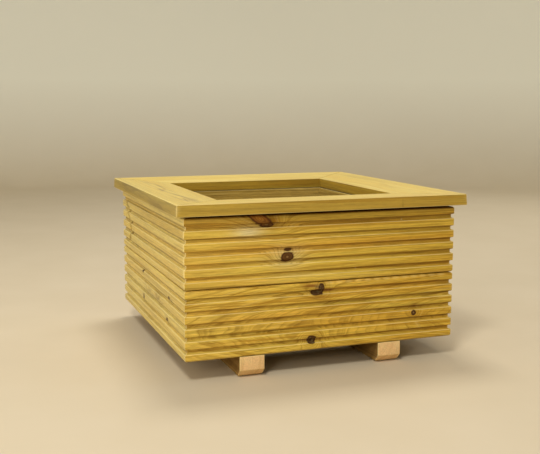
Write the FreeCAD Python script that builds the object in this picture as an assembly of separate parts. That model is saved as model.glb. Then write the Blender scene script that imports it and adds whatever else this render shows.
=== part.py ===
import FreeCAD, Part
import math
import os
from collections import namedtuple
from FreeCAD import Vector

# A square garden planter: two courses of grooved decking board on each side, mitred at the corners,
# under a flat mitred rim that falls slightly inwards. Battens, corner posts and floor slats hold it
# together inside, and two bearers carry it. Origin on the ground under the middle, front towards -Y.

# Box, measured over the ridges of the wall boards
BOX_WIDTH = 508.0
BOX_DEPTH = 508.0
COURSE_COUNT = 2
COURSE_GAP = 1.2

# Decking board
BOARD_WIDTH = 120.0
BOARD_THICKNESS = 28.0
BOARD_FACE_EASE = 4.0
BOARD_BACK_EASE = 2.0
RIDGE_COUNT = 6
RIDGE_EASE = 1.5
GROOVE_WIDTH = 8.8
GROOVE_FLOOR_WIDTH = 5.4
GROOVE_DEPTH = 4.2

# Mitred corners of the walls and the rim
MITRE_GAP = 0.4

# Rim board
RIM_WIDTH = 98.0
RIM_THICKNESS = 20.0
RIM_OVERHANG = 16.0
RIM_FALL = 5.0
RIM_LIFT = 2.0
RIM_EASE = 1.2

# Battens at the top and at the base, inside the walls
BATTEN_WIDTH = 58.0
BATTEN_HEIGHT = 38.0
BATTEN_END_GAP = 0.5

# Corner posts
POST_SIZE = 45.0

# Floor slats
SLAT_COUNT = 4
SLAT_THICKNESS = 20.0
SLAT_GAP = 8.0
SLAT_END_GAP = 3.0
SLAT_NOTCH_CLEARANCE = 1.0

# Bearers
BEARER_WIDTH = 45.0
BEARER_HEIGHT = 38.0
BEARER_SPACING = 262.0
BEARER_SHIFT = -4.5
BEARER_SETBACK = 1.0
BEARER_CHAMFER = 14.0
BEARER_EASE = 2.0

# Screws, drawn with flat sides because there are many of them and they are small
SCREW_SIDES = 8
SCREW_SHANK = 4.5
SCREW_HEAD = 9.0
SCREW_POINT = 6.0
SCREW_SINK = 0.5
SCREW_CLEARANCE = 0.1
WALL_SCREW_BITE = 19.0
WALL_SCREW_STAGGER = 12.0
BATTEN_SCREW_SHARE = 0.85
BATTEN_SCREW_INSET = 12.0
RIM_SCREW_BITE = 12.0
RIM_SCREW_SHARE = 0.5
BEARER_SCREW_BITE = 20.0

# How far cutting tools run past what they cut
CUT_OVERRUN = 5.0

UP = Vector(0, 0, 1)
RIGHT = Vector(1, 0, 0)
BACK = Vector(0, 1, 0)

# Heights that the pieces share
wall_bottom = BEARER_HEIGHT
wall_top = wall_bottom + COURSE_COUNT * BOARD_WIDTH + (COURSE_COUNT - 1) * COURSE_GAP
base_batten_top = wall_bottom + BATTEN_HEIGHT
rim_seat = wall_top + RIM_LIFT
top_batten_bottom = rim_seat - BATTEN_HEIGHT
rim_angle = math.asin(RIM_FALL / RIM_WIDTH)

# A side is drawn as the front one, with x along it and its outward direction -Y, then turned into place.
Side = namedtuple("Side", "name turn reach half_length")
SIDES = (
    Side("front", 0, BOX_DEPTH / 2, BOX_WIDTH / 2),
    Side("right", 90, BOX_WIDTH / 2, BOX_DEPTH / 2),
    Side("back", 180, BOX_DEPTH / 2, BOX_WIDTH / 2),
    Side("left", 270, BOX_WIDTH / 2, BOX_DEPTH / 2),
)
CORNERS = (
    ("front_left", -1, -1),
    ("front_right", 1, -1),
    ("back_right", 1, 1),
    ("back_left", -1, 1),
)


def wall_inside(side):
    """Distance from the middle of the box to the inner face of this side's wall."""
    return side.reach - BOARD_THICKNESS


def batten_middle(side):
    """Distance from the middle of the box to the middle of this side's battens."""
    return wall_inside(side) - BATTEN_WIDTH / 2


def seat_height(side, distance):
    """Height of the rim's underside at a distance from the middle of the box."""
    return rim_seat + (distance - wall_inside(side)) * math.tan(rim_angle)


def course_bottom(course):
    return wall_bottom + course * (BOARD_WIDTH + COURSE_GAP)


def rounded_face(corners):
    """Face with the given corners, each a point and the radius that eases it."""
    count = len(corners)
    turns = []
    for index, (point, radius) in enumerate(corners):
        to_last = (corners[index - 1][0] - point).normalize()
        to_next = (corners[(index + 1) % count][0] - point).normalize()
        half_angle = to_last.getAngle(to_next) / 2
        reach = radius / math.tan(half_angle)
        crown = (to_last + to_next).normalize() * (radius / math.sin(half_angle) - radius)
        turns.append((point + to_last * reach, point + crown, point + to_next * reach, radius))
    edges = []
    for index, (start, crown, end, radius) in enumerate(turns):
        if radius > 0:
            edges.append(Part.Arc(start, crown, end).toShape())
        edges.append(Part.LineSegment(end, turns[(index + 1) % count][0]).toShape())
    return Part.Face(Part.Wire(edges))


def box_between(low, high):
    """Block between two opposite corners."""
    size = high - low
    return Part.makeBox(size.x, size.y, size.z, low)


def run_of(profile, half_length):
    """Timber along a side with a profile of (distance from the middle, height, radius) corners."""
    corners = [(Vector(-half_length, -distance, height), radius) for distance, height, radius in profile]
    return rounded_face(corners).extrude(RIGHT * (2 * half_length))


def mitre_block(side, inside, outside):
    """Block that trims a run of timber at 45 degrees to the corners of the box."""
    past_reach = side.half_length - side.reach - MITRE_GAP / math.sqrt(2)
    outline = []
    for distance, ends in ((outside + CUT_OVERRUN, (-1, 1)), (inside - CUT_OVERRUN, (1, -1))):
        for end in ends:
            outline.append((Vector(end * (distance + past_reach), -distance, 0), 0))
    height = rim_seat + RIM_FALL + RIM_THICKNESS + CUT_OVERRUN
    return rounded_face(outline).extrude(UP * height)


def placed(shape, side):
    """The shape turned from the front to its own side."""
    shape.rotate(Vector(), UP, side.turn)
    return shape


def decking_profile(side, bottom):
    """Ridged face outwards and a plain back, with the ridges spread evenly over the board's width."""
    ridge_width = (BOARD_WIDTH - (RIDGE_COUNT - 1) * GROOVE_WIDTH) / RIDGE_COUNT
    face = side.reach
    floor = side.reach - GROOVE_DEPTH
    back = wall_inside(side)
    profile = [(back, bottom, BOARD_BACK_EASE), (face, bottom, BOARD_FACE_EASE)]
    for groove in range(RIDGE_COUNT - 1):
        low_edge = bottom + (groove + 1) * ridge_width + groove * GROOVE_WIDTH
        middle = low_edge + GROOVE_WIDTH / 2
        profile.append((face, low_edge, RIDGE_EASE))
        profile.append((floor, middle - GROOVE_FLOOR_WIDTH / 2, 0))
        profile.append((floor, middle + GROOVE_FLOOR_WIDTH / 2, 0))
        profile.append((face, low_edge + GROOVE_WIDTH, RIDGE_EASE))
    top = bottom + BOARD_WIDTH
    profile += [(face, top, BOARD_FACE_EASE), (back, top, BOARD_BACK_EASE)]
    return profile


def wall_board(side, course):
    board = run_of(decking_profile(side, course_bottom(course)), side.half_length)
    return placed(board.common(mitre_block(side, wall_inside(side), side.reach)), side)


def rim_board(side):
    """Flat board tipped inwards, with its underside on the bevelled top batten."""
    outside = side.reach + RIM_OVERHANG
    low_outside = Vector(outside, 0, seat_height(side, outside))
    inwards = Vector(-math.cos(rim_angle), 0, -math.sin(rim_angle)) * RIM_WIDTH
    upwards = Vector(-math.sin(rim_angle), 0, math.cos(rim_angle)) * RIM_THICKNESS
    points = (low_outside, low_outside + upwards, low_outside + upwards + inwards, low_outside + inwards)
    board = run_of([(point.x, point.z, RIM_EASE) for point in points], side.half_length + RIM_OVERHANG)
    return placed(board.common(mitre_block(side, outside - RIM_WIDTH - RIM_THICKNESS, outside)), side)


def batten_half_length(side):
    """The front and back battens run from wall to wall, and the other two fit between them."""
    between_walls = side.half_length - BOARD_THICKNESS - BATTEN_END_GAP
    return between_walls if side.turn % 180 == 0 else between_walls - BATTEN_WIDTH


def batten(side, bottom, inner_top, outer_top):
    outside = wall_inside(side)
    inside = outside - BATTEN_WIDTH
    profile = [(inside, bottom, 0), (outside, bottom, 0), (outside, outer_top, 0), (inside, inner_top, 0)]
    return placed(run_of(profile, batten_half_length(side)), side)


def top_batten(side):
    """Sawn batten whose top is bevelled to the fall of the rim."""
    inner_top = seat_height(side, wall_inside(side) - BATTEN_WIDTH)
    return batten(side, top_batten_bottom, inner_top, rim_seat)


def base_batten(side):
    return batten(side, wall_bottom, base_batten_top, base_batten_top)


def post_corners(to_right, to_back, clearance):
    """Low and high corner of the post in one corner of the box, with room around it in plan."""
    inside_x = BOX_WIDTH / 2 - BOARD_THICKNESS
    inside_y = BOX_DEPTH / 2 - BOARD_THICKNESS
    span_x = sorted((to_right * (inside_x + clearance), to_right * (inside_x - POST_SIZE - clearance)))
    span_y = sorted((to_back * (inside_y + clearance), to_back * (inside_y - POST_SIZE - clearance)))
    low = Vector(span_x[0], span_y[0], base_batten_top)
    high = Vector(span_x[1], span_y[1], top_batten_bottom)
    return low, high


def corner_post(to_right, to_back):
    return box_between(*post_corners(to_right, to_back, 0))


def floor_slat(index):
    """Slat across the box on the base battens, notched where it meets a post."""
    inside_x = BOX_WIDTH / 2 - BOARD_THICKNESS - SLAT_END_GAP
    inside_y = BOX_DEPTH / 2 - BOARD_THICKNESS
    slat_width = (2 * inside_y - (SLAT_COUNT + 1) * SLAT_GAP) / SLAT_COUNT
    front = -inside_y + SLAT_GAP + index * (slat_width + SLAT_GAP)
    low = Vector(-inside_x, front, base_batten_top)
    high = Vector(inside_x, front + slat_width, base_batten_top + SLAT_THICKNESS)
    notches = [box_between(*post_corners(x, y, SLAT_NOTCH_CLEARANCE)) for name, x, y in CORNERS]
    return box_between(low, high).cut(notches)


def bearer_middle(to_right):
    return BEARER_SHIFT + to_right * BEARER_SPACING / 2


def bearer(to_right):
    """Bearer from front to back, with the lower edge of each end cut off at a slant."""
    half_length = BOX_DEPTH / 2 - BEARER_SETBACK
    left = bearer_middle(to_right) - BEARER_WIDTH / 2
    right = left + BEARER_WIDTH
    outline = (
        (-half_length, BEARER_HEIGHT, 0),
        (half_length, BEARER_HEIGHT, 0),
        (half_length, BEARER_CHAMFER, BEARER_EASE),
        (half_length - BEARER_CHAMFER, 0, BEARER_EASE),
        (BEARER_CHAMFER - half_length, 0, BEARER_EASE),
        (-half_length, BEARER_CHAMFER, BEARER_EASE),
    )
    lengthways = rounded_face([(Vector(left, y, z), radius) for y, z, radius in outline])
    section = ((left, 0), (right, 0), (right, BEARER_HEIGHT), (left, BEARER_HEIGHT))
    across = rounded_face([(Vector(x, -half_length, z), BEARER_EASE) for x, z in section])
    whole = lengthways.extrude(RIGHT * BEARER_WIDTH)
    return whole.common(across.extrude(BACK * (2 * half_length)))


def faceted_solid(rings):
    """Flat-sided solid along +Z through rings of (radius, height), the last of them a point."""
    turns = [2 * math.pi * side / SCREW_SIDES for side in range(SCREW_SIDES + 1)]
    loops = [[Vector(r * math.cos(t), r * math.sin(t), z) for t in turns] for r, z in rings[:-1]]
    tip = Vector(0, 0, rings[-1][1])
    outlines = [loops[0][::-1]]
    for low, high in zip(loops, loops[1:]):
        for side in range(SCREW_SIDES):
            outlines.append([low[side], low[side + 1], high[side + 1], high[side], low[side]])
    for side in range(SCREW_SIDES):
        outlines.append([loops[-1][side], loops[-1][side + 1], tip, loops[-1][side]])
    return Part.Solid(Part.Shell([Part.Face(Part.makePolygon(outline)) for outline in outlines]))


def screw_and_hole(face_point, direction, length):
    """A countersunk screw driven from a face along a direction, sunk just below it, with its hole."""
    start = face_point + direction * SCREW_SINK
    place = FreeCAD.Placement(start, FreeCAD.Rotation(UP, direction))
    head = SCREW_HEAD / 2
    shank = SCREW_SHANK / 2
    tip = length - SCREW_SINK
    room = SCREW_CLEARANCE
    body = [(shank, head - shank), (shank, tip - SCREW_POINT), (0, tip)]
    screw = faceted_solid([(head, 0)] + body)
    bore = [(radius + room, height) for radius, height in [(head, 0)] + body[:-1]]
    hole = faceted_solid([(head + room, -SCREW_SINK - CUT_OVERRUN)] + bore + [(0, tip + room)])
    screw.Placement = place
    hole.Placement = place
    return screw, hole


def wall_screws():
    """Through each corner post into both courses of the two walls that meet there."""
    found = []
    for name, to_right, to_back in CORNERS:
        low, high = post_corners(to_right, to_back, 0)
        middle = (low + high) / 2
        for course in range(COURSE_COUNT):
            board_low = max(low.z, course_bottom(course))
            board_high = min(high.z, course_bottom(course) + BOARD_WIDTH)
            height = (board_low + board_high) / 2
            for direction, stagger in ((RIGHT * to_right, -1), (BACK * to_back, 1)):
                start = middle - direction * (POST_SIZE / 2)
                start.z = height + stagger * WALL_SCREW_STAGGER
                found.append(screw_and_hole(start, direction, POST_SIZE + WALL_SCREW_BITE))
    return found


def pair_along(side, share, distance, height):
    """Two points on a batten, at a share of the way from its middle to its ends."""
    along = share * batten_half_length(side)
    turn = FreeCAD.Rotation(UP, side.turn)
    return [turn.multVec(Vector(end * along, -distance, height)) for end in (-1, 1)]


def batten_screws(height):
    """Outwards through each batten of one ring into the wall behind it."""
    found = []
    for side in SIDES:
        outwards = FreeCAD.Rotation(UP, side.turn).multVec(-BACK)
        inside = wall_inside(side) - BATTEN_WIDTH
        for start in pair_along(side, BATTEN_SCREW_SHARE, inside, height):
            found.append(screw_and_hole(start, outwards, BATTEN_WIDTH + WALL_SCREW_BITE))
    return found


def rim_screws():
    """Up through each top batten into the rim board on it."""
    found = []
    for side in SIDES:
        distance = batten_middle(side)
        length = seat_height(side, distance) - top_batten_bottom + RIM_SCREW_BITE
        for start in pair_along(side, RIM_SCREW_SHARE, distance, top_batten_bottom):
            found.append(screw_and_hole(start, UP, length))
    return found


def bearer_screws():
    """Up through the bearers into the front and back base battens."""
    found = []
    distance = BOX_DEPTH / 2 - BOARD_THICKNESS - BATTEN_WIDTH / 2
    for to_right in (-1, 1):
        for to_back in (-1, 1):
            start = Vector(bearer_middle(to_right), to_back * distance, 0)
            found.append(screw_and_hole(start, UP, BEARER_HEIGHT + BEARER_SCREW_BITE))
    return found


def screw_groups():
    """Screws and their holes by the name of the group."""
    return {
        "wall_screws": wall_screws(),
        "top_batten_screws": batten_screws(top_batten_bottom + BATTEN_SCREW_INSET),
        "base_batten_screws": batten_screws(base_batten_top - BATTEN_SCREW_INSET),
        "rim_screws": rim_screws(),
        "bearer_screws": bearer_screws(),
    }


def timbers():
    """Every wooden piece by name, before it is drilled."""
    pieces = {}
    for side in SIDES:
        for course in range(COURSE_COUNT):
            pieces[f"{side.name}_board_{course + 1}"] = wall_board(side, course)
        pieces[f"{side.name}_rim_board"] = rim_board(side)
        pieces[f"{side.name}_top_batten"] = top_batten(side)
        pieces[f"{side.name}_base_batten"] = base_batten(side)
    for name, to_right, to_back in CORNERS:
        pieces[f"{name}_post"] = corner_post(to_right, to_back)
    for index in range(SLAT_COUNT):
        pieces[f"floor_slat_{index + 1}"] = floor_slat(index)
    for name, to_right in (("left", -1), ("right", 1)):
        pieces[f"{name}_bearer"] = bearer(to_right)
    return pieces


def drilled(timber, screws_and_holes):
    """The timber with the holes of the screws that reach it."""
    near = [hole for screw, hole in screws_and_holes if screw.BoundBox.intersect(timber.BoundBox)]
    return timber.cut(near) if near else timber


def main():
    os.makedirs("parts", exist_ok=True)
    groups = screw_groups()
    all_screws = [pair for group in groups.values() for pair in group]
    for name, timber in timbers().items():
        drilled(timber, all_screws).exportStep(f"parts/{name}.step")
    for name, group in groups.items():
        Part.Compound([screw for screw, hole in group]).exportStep(f"parts/{name}.step")


main()
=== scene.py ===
import math
from collections import namedtuple

import bmesh
import bpy
from mathutils import Matrix, Vector, noise


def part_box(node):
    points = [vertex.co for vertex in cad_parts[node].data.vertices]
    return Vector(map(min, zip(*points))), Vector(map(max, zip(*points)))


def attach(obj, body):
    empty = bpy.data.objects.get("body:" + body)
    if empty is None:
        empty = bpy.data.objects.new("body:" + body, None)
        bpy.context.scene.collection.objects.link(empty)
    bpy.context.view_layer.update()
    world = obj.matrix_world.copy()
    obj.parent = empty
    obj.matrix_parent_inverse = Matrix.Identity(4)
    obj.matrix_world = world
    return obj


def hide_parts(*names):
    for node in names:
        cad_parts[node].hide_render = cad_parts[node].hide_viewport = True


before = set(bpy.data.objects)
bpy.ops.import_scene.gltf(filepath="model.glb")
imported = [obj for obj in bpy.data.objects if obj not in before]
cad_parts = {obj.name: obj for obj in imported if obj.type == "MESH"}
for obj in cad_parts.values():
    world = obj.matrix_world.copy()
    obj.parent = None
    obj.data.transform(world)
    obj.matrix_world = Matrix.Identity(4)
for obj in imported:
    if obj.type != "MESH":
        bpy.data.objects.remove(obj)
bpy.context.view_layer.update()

# Marks on a face, each with its place along and up the face and its half sizes, in metres.
Knot = namedtuple("Knot", "along up half_length half_height redness lean decay heart",
                  defaults=(0.0, 0.0, 0.0, 0.1))
Patch = namedtuple("Patch", "along up half_length half_height share colour slope", defaults=(0.0,))
Swirl = namedtuple("Swirl", "along up half_length half_height push")
Chip = namedtuple("Chip", "along up half_length half_height depth stain wear lean", defaults=(0.0, 0.0, 0.0))

# Looks and shapes of the timber.
ARRIS_WEAR = 0.3
Look = namedtuple("Look", "early late warm tint ring_width contrast streak fibre roughness specular bump")
Grain = namedtuple("Grain", "along across detail roughness seed", defaults=(2.0, 0.5, 0.0))
Wear = namedtuple("Wear", "amount reach chew", defaults=(0.0,))
# A shade holds the painted shade in the lower and upper parts of the grooves, below and above the board,
# where on the groove floor it changes, and its shares at the left and right ends.
Shade = namedtuple("Shade", "groove slope below above line_share end_shares")
# A corner or point carries pale wear, painted highlights on some arrises, and painted shade for faces where
# shade falls.
Corner = namedtuple("Corner", "across up radius wear stain", defaults=(ARRIS_WEAR, 0.0))
Point = namedtuple("Point", "across up wear stain")

# Sizes of the timber in metres, as in the solids.
RIDGE_COUNT = 6
GROOVE_WIDTH = 0.0088
GROOVE_FLOOR_WIDTH = 0.0054
GROOVE_DEPTH = 0.0042
RIDGE_EASE = 0.0015
BOARD_FACE_EASE = 0.004
BOARD_BACK_EASE = 0.002
MITRE_HALF_GAP = 0.0002
RIM_WIDTH = 0.098
RIM_THICKNESS = 0.020
RIM_FALL = 0.005
SLAT_COUNT = 4
SLAT_NOTCH_CLEARANCE = 0.001
BEARER_CHAMFER = 0.014

# Small sizes that the solids lack, or that differ a little from theirs.
GROOVE_FLOOR_EASE = 0.0008
RIM_EASE = 0.0013
BATTEN_EASE = 0.0012
TOP_BATTEN_FALL = 0.0029
SLAT_EASE = 0.0015
BEARER_EASE = 0.0035
END_EASE = 0.001

# How finely the timber is divided, and how far it strays from straight.
STATION_STEP = 0.006
FINE_STEP = 0.003
ARC_STEPS = 4
END_EASE_SHARES = (0.0, 0.12, 0.35, 0.65, 1.0)
NEAR_END_SHARES = (1.6, 2.6)
BOARD_RIPPLE = 0.0004
BOARD_RIPPLE_GRAIN = Grain(9, 60)
SAWN_RIPPLE = 0.0009
BEARER_RIPPLE = SAWN_RIPPLE / 2
SAWN_RIPPLE_GRAIN = Grain(140, 90)
CHEW_GRAIN = Grain(0, 90)
CHEW_MEAN = 0.5
CHEW_LEAST = 0.2
RIPPLE_SEED_STEPS = (1, 2, 3)
SHARP_ANGLE = math.radians(40)
WELD_DISTANCE = 0.00005

# Screws: the head stands level with the timber, and the thread takes up the lower part.
SCREW_GROUPS = ("wall", "top_batten", "base_batten", "rim", "bearer")
SCREW_HEAD_RADIUS = 0.0045
SCREW_RADIUS = 0.00225
SCREW_CORE_RADIUS = 0.0016
SCREW_TIP_RADIUS = 0.0004
SCREW_POINT = 0.006
SCREW_RAISE = 0.0005
SCREW_PITCH = 0.003
SCREW_TURN_RINGS = 4
SCREW_SIDES = 16
THREAD_START_SHARE = 0.4
HEAD_SEARCH_SHARE = 1.2
RECESS_RINGS = 6
RECESS_DEPTH = 0.0014
RECESS_ARM = 0.0007
RECESS_REACH = 0.0027
RECESS_TAPER_SHARE = 0.6

# The camera that took the photograph, in metres and degrees, with its lens and sensor in millimetres.
CAMERA_PLACE = (-0.61327, -1.62456, 0.46723)
CAMERA_YAW = 20.375
CAMERA_PITCH = 8.113
CAMERA_ROLL = 0.1215
CAMERA_LENS = 58.588
SENSOR_WIDTH = 36.0

# The studio.
FLOOR_RADIUS = 3.2
FLOOR_CURVE = 0.6
FLOOR_CURVE_STEPS = 8
FLOOR_SIDES = 96
WALL_HEIGHT = 1.7
FLOOR_DARK = (0.60, 0.49, 0.32)
FLOOR_PALE = (0.65, 0.54, 0.37)
WALL_PALE = (0.90, 0.87, 0.72)
FLOOR_GRAIN = Grain(6.0, 6.0, 4.0, seed=1.0)
FLOOR_SPECULAR = 0.1
FLOOR_ROUGHNESS = 0.85
FLOOR_ROUGHNESS_RISE = 0.1
FLOOR_BUMP = 0.05
WORLD_WHITE = (1.0, 1.0, 1.0, 1.0)
WORLD_STRENGTH = 0.3
Lamp = namedtuple("Lamp", "name place size watts")
LAMPS = (
    Lamp("key", (-1.2, -1.7, 2.5), 0.6, 40),
    Lamp("overhead", (0.2, 0.7, 2.8), 0.8, 34),
    Lamp("front_fill", (-1.6, -2.0, 1.0), 0.6, 12.5),
    Lamp("left_fill", (-2.6, -0.2, 0.7), 1.0, 14),
    Lamp("right_fill", (2.2, 1.4, 1.6), 1.2, 10))

# How far the ends and edges have paled, with painted highlights on the ridges' upper arrises, and how much
# shade is painted on hidden faces, the rim's edges and mitres, the bearers and the grooves.
NO_WEAR = Wear(0.0, 0.001)
LIGHT_WEAR = Wear(0.4, 0.001)
CORNER_WEAR = Wear(1.0, 0.001)
CHEWED_WEAR = Wear(1.0, 0.0035, 0.0018)
# Painted highlight on each ridge's upper arris, where light from above catches it.
UPPER_RIDGE_HIGHLIGHT = 0.7
LOWER_EDGE_WEAR = 0.1
SLAT_WEAR = 0.4
# Painted shade: on hidden faces, on the rim's outer and inner edges, in the rim's mitres and on the bearers.
HIDDEN_FACE_PAINTED_SHADE = 1.0
OUTER_EDGE_PAINTED_SHADE = 0.72
INNER_EDGE_PAINTED_SHADE = 0.9
MITRE_PAINTED_SHADE = 0.7
BEARER_PAINTED_SHADE = 0.9
GROOVE_SHADE_BLUR = 0.0006
EVEN_SHARES = (1.0, 1.0)
LEFT_HALF_SHARES = (0.5, 1.0)
# Painted shade for the boards; on the front it fades to half at the left end, and above the upper front
# board it is strong, for the rim's shadow.
DEEP_SHADE = Shade(groove=0.2, slope=0.6, below=0.5, above=0.5, line_share=0.55, end_shares=EVEN_SHARES)
FRONT_LOWER_SHADE = DEEP_SHADE._replace(below=1.0, above=0.3, end_shares=LEFT_HALF_SHARES)
FRONT_UPPER_SHADE = DEEP_SHADE._replace(below=0.4, above=2.0, end_shares=LEFT_HALF_SHARES)
FAINT_SHADE = Shade(groove=0.0, slope=0.45, below=0.0, above=0.0, line_share=0.3, end_shares=EVEN_SHARES)

# A rim board's edges and the faces after them: below, outer edge, top, inner edge. The lower outer arris
# carries a painted highlight and the others pale wear; the underside and both edges carry painted shade.
RIM_WEARS_AND_HIGHLIGHTS = (0.3, 0.7, 0.5, 0.5)
RIM_PAINTED_SHADES = (HIDDEN_FACE_PAINTED_SHADE, OUTER_EDGE_PAINTED_SHADE, 0.0, INNER_EDGE_PAINTED_SHADE)

# Grain in waves per metre along and across the timber. A bend is (grain, how far it moves the rings).
GRAIN_BENDS = ((Grain(3.0, 14.0), 0.016), (Grain(22.0, 70.0), 0.0026))
FIBRE_GRAIN = Grain(36.0, 400.0, 3.0, 0.6)
STREAK_GRAIN = Grain(4.0, 190.0, 3.0, 0.6, seed=5.0)
LINE_GRAIN = Grain(2.5, 220.0, 3.0, 0.65, seed=7.0)
BAND_GRAIN = Grain(2.4, 48.0, seed=9.0)
FLECK_GRAIN = Grain(60.0, 1500.0, 1.0, seed=3.0)
CRUMPLE_GRAIN = Grain(80.0, 110.0, 3.0)
DECAY_GRAIN = Grain(260.0, 260.0)
TEXTURE_SEED_STEPS = (1.0, 1.7, 2.3)
NOISE_MEAN = 0.5
NOISE_MIDDLE = (NOISE_MEAN, NOISE_MEAN, NOISE_MEAN)

# How rings, lines, fibres and painted shade make up the colour of wood. Stops are (place, value) on a ramp.
LATE_STOPS = ((0.0, 0.04), (0.65, 0.09), (0.86, 0.7), (0.95, 1.0), (1.0, 0.04))
BAND_STOPS = ((0.42, 0.0), (0.62, 0.75))
FLECK_STOPS = ((0.62, 0.0), (0.72, 1.0))
DARK_LINE_STOPS = ((0.51, 0.0), (0.61, 0.75))
THIN_LINE_STOPS = ((0.54, 0.0), (0.61, 0.5))
PALE_LINE_STOPS = ((0.32, 0.25), (0.42, 0.0))
RING_TONE_SHARE = 0.7
FLECK_SHARE = 0.22
PATCH_STREAK_SHARE = 1.2
PATCH_PLAIN_SHARE = 0.4
WEAR_AND_HIGHLIGHT_STREAK_SHARE = 0.6
WEAR_AND_HIGHLIGHT_PLAIN_SHARE = 0.7
PAINTED_SHADE_STREAK_SHARE = 0.8
PAINTED_SHADE_LINE_SHARE = 0.6
HALO_CONTRAST_SHARE = 0.8
HALO_TINT_SHARE = 0.2
LATE_RELIEF_SHARE = 0.5
FIBRE_ROUGHNESS_RISE = 0.25
FIBRE_ROUGHNESS_START = -0.12
PAINTED_SHADE_ROUGHNESS_RISE = 0.3
KNOT_ROUGHNESS_RISE = 0.25
BUMP_DISTANCE = 0.0006
# Pale wood, for pale grain lines, pale wear and painted highlights.
PALE_WOOD = (0.84, 0.68, 0.28)

# Knots. The stops of edge and colours run from the middle out.
KNOT_FAR = 9.0
KNOT_PUSH_SHARE = 2.6
KNOT_SWELL_SHARES = (0.18, 0.3)
KNOT_CLOSE_SHARE = 0.4
KNOT_CRUMPLE = 0.7
KNOT_REACH = 1.25
KNOT_EDGE_STOPS = ((0.72, 1.0), (0.92, 0.0))
DARK_KNOT_STOPS = (
    (0.0, (0.06, 0.018, 0.002)), (0.24, (0.045, 0.015, 0.002)), (0.36, (0.075, 0.030, 0.004)),
    (0.50, (0.090, 0.036, 0.004)), (0.60, (0.055, 0.018, 0.002)), (0.76, (0.045, 0.013, 0.002)),
    (0.86, (0.20, 0.080, 0.006)))
RED_KNOT_STOPS = (
    (0.0, (0.44, 0.21, 0.025)), (0.14, (0.24, 0.085, 0.008)), (0.24, (0.40, 0.18, 0.022)),
    (0.36, (0.20, 0.068, 0.006)), (0.48, (0.34, 0.14, 0.016)), (0.62, (0.16, 0.050, 0.005)),
    (0.74, (0.09, 0.026, 0.003)), (0.84, (0.05, 0.012, 0.002)))
DECAY_STOPS = ((0.52, 0.0), (0.60, 1.0))
BARK_GREY = (0.16, 0.13, 0.05)
KNOT_HEART = (0.20, 0.115, 0.035)

# Looks of the timber. Ring widths are in metres. The tint colours the painted shade, and the halos round
# knots.
DECKING = Look(
    early=(0.73, 0.51, 0.071), late=(0.27, 0.130, 0.004), warm=(0.70, 0.39, 0.043), tint=(0.24, 0.16, 0.04),
    ring_width=0.0042, contrast=0.6, streak=0.8, fibre=0.75, roughness=0.5, specular=0.22, bump=0.35)
FLAMED_DECKING = DECKING._replace(early=(0.76, 0.53, 0.074), ring_width=0.0027, streak=1.3, fibre=0.9)
# Paler, greener boards for the left side: partly their own tone, partly painted light on that side.
PALE_DECKING = DECKING._replace(
    early=(0.69, 0.525, 0.136), late=(0.42, 0.28, 0.050), warm=(0.67, 0.46, 0.098),
    contrast=0.65, fibre=0.7, roughness=0.42, specular=0.45)
RIM = Look(
    early=(0.70, 0.51, 0.12), late=(0.47, 0.29, 0.045), warm=(0.68, 0.46, 0.09), tint=(0.50, 0.41, 0.07),
    ring_width=0.0052, contrast=0.5, streak=0.5, fibre=0.4, roughness=0.48, specular=0.28, bump=0.12)
# The left rim board's swirled grain, with a darker tint for the painted shade on its edges.
LEFT_RIM = RIM._replace(late=(0.38, 0.26, 0.08), tint=(0.38, 0.38, 0.42), ring_width=0.0030, contrast=0.4)
# The back rim board is paler, a painted sheen on its top seen at a grazing angle.
BACK_RIM_WITH_PAINTED_SHEEN = RIM._replace(early=(0.76, 0.57, 0.15), late=(0.54, 0.35, 0.06))
SAWN = Look(
    early=(0.46, 0.32, 0.080), late=(0.24, 0.145, 0.02), warm=(0.42, 0.27, 0.05), tint=(0.20, 0.16, 0.10),
    ring_width=0.0045, contrast=0.7, streak=0.6, fibre=0.9, roughness=0.8, specular=0.15, bump=0.8)
SLAT = SAWN._replace(early=(0.58, 0.41, 0.13), late=(0.34, 0.21, 0.04), warm=(0.55, 0.35, 0.09))
BEARER = Look(
    early=(0.82, 0.55, 0.25), late=(0.62, 0.38, 0.14), warm=(0.84, 0.52, 0.23), tint=(0.24, 0.19, 0.06),
    ring_width=0.0030, contrast=0.6, streak=0.3, fibre=0.5, roughness=0.75, specular=0.15, bump=0.6)

# Zinc plating.
ZINC_DARK = (0.42, 0.40, 0.34)
ZINC_PALE = (0.68, 0.66, 0.58)
ZINC_STAIN = (0.34, 0.29, 0.20)
ZINC_MOTTLE_GRAIN = Grain(900.0, 900.0, 3.0, 0.6, seed=1.0)
ZINC_SPOT_GRAIN = Grain(240.0, 240.0, seed=2.0)
ZINC_SPOT_STOPS = ((0.5, 0.0), (0.7, 0.5))
ZINC_ROUGHNESS = 0.25
ZINC_ROUGHNESS_RISE = 0.35
ZINC_BUMP = 0.2

# Colours of the marks. Pale and deep gold also carry a painted fall-off of light along the front, and shaded
# gold is a painted shadow of the rim.
CREAM = (0.78, 0.68, 0.36)
RED_BROWN = (0.34, 0.14, 0.02)
GREY_BROWN = (0.34, 0.22, 0.06)
ORANGE_BROWN = (0.36, 0.17, 0.004)
DARK_BROWN = (0.06, 0.03, 0.006)
PALE_GOLD = (0.72, 0.53, 0.13)
DEEP_GOLD = (0.48, 0.27, 0.015)
SHADED_GOLD = (0.38, 0.25, 0.03)

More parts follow.
